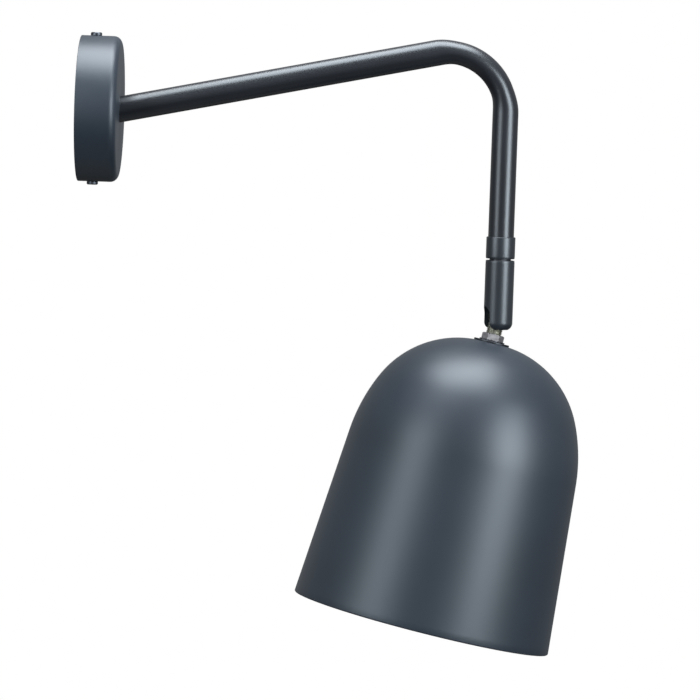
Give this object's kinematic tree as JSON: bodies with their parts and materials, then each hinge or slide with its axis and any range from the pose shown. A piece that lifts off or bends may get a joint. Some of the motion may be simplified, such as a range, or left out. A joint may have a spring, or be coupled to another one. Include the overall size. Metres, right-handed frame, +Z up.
{
  "type": "pendant wall sconce",
  "caption": "Wall lamp with a bent tube arm that carries a hanging bell shade on a swivelling, tilting slotted knuckle, with a round canopy, lamp holder and bulb.",
  "frame": {"origin": "on the wall plane, at the middle of the wall bracket's two screw slots", "axes": "+X out from the wall, +Z up, -Y towards the side that the lamp is usually seen from"},
  "size_m": [0.3156, 0.1617, 0.3786],
  "materials": {
    "paint": "satin dark blue-grey powder coat",
    "zinc": "bright zinc plate",
    "spring_steel": "oiled spring steel",
    "dark_screw": "black zinc",
    "yellow_passivated": "yellow passivated steel",
    "dark_washer": "blackened steel",
    "brass": "plain brass",
    "rubber": "black rubber",
    "nylon": "natural nylon",
    "flex": "black sheathed flex",
    "core_wire": "insulated cores",
    "holder_plastic": "black moulded plastic",
    "holder_ceramic": "glazed ceramic",
    "bulb_metal": "nickelled lamp cap",
    "bulb_glass": "frosted glass"
  },
  "bodies": {
    "wall_mount": {"wall_bracket": "zinc", "cable_grommet": "rubber", "earth_screw": "zinc", "terminal_block": "nylon", "terminal_screws": "brass", "canopy": "paint", "canopy_screws": "dark_screw", "backing_plate": "zinc", "arm_end_plug": "zinc", "arm_lock_washer": "zinc", "arm_nut": "zinc", "arm_tube": "paint", "arm_lead": "flex", "swivel_collar": "paint", "stop_pin": "zinc", "swivel_pin": "zinc"},
    "swivel": {"knuckle_body": "paint", "swivel_bush": "dark_washer", "thrust_washer": "nylon", "disc_springs": "spring_steel", "friction_saddle": "holder_plastic", "knuckle_lead": "flex"},
    "shade": {"pivot_ball": "yellow_passivated", "threaded_stub": "yellow_passivated", "hex_nut": "zinc", "tooth_washer": "dark_washer", "cover_washer": "dark_washer", "shade": "paint", "inner_washer": "zinc", "inner_nut": "zinc", "holder_cap": "holder_plastic", "holder_core": "holder_ceramic", "holder_shell": "holder_plastic", "screw_shell": "brass", "centre_contact": "brass", "holder_screws": "brass", "shade_lead": "flex", "holder_wires": "core_wire", "bulb_cap": "bulb_metal", "bulb_globe": "bulb_glass"}
  },
  "joints": [
    {"name": "swivel", "type": "hinge", "parent": "wall_mount", "child": "swivel", "pos_m": [0.263, 0, -0.12021], "axis": [0, 0, 1], "range_deg": [-160, 160]},
    {"name": "tilt", "type": "hinge", "parent": "swivel", "child": "shade", "pos_m": [0.263, 0, -0.12021], "axis": [-0.2756, 0.9613, 0], "range_deg": [-18.7, 77.3]}
  ]
}
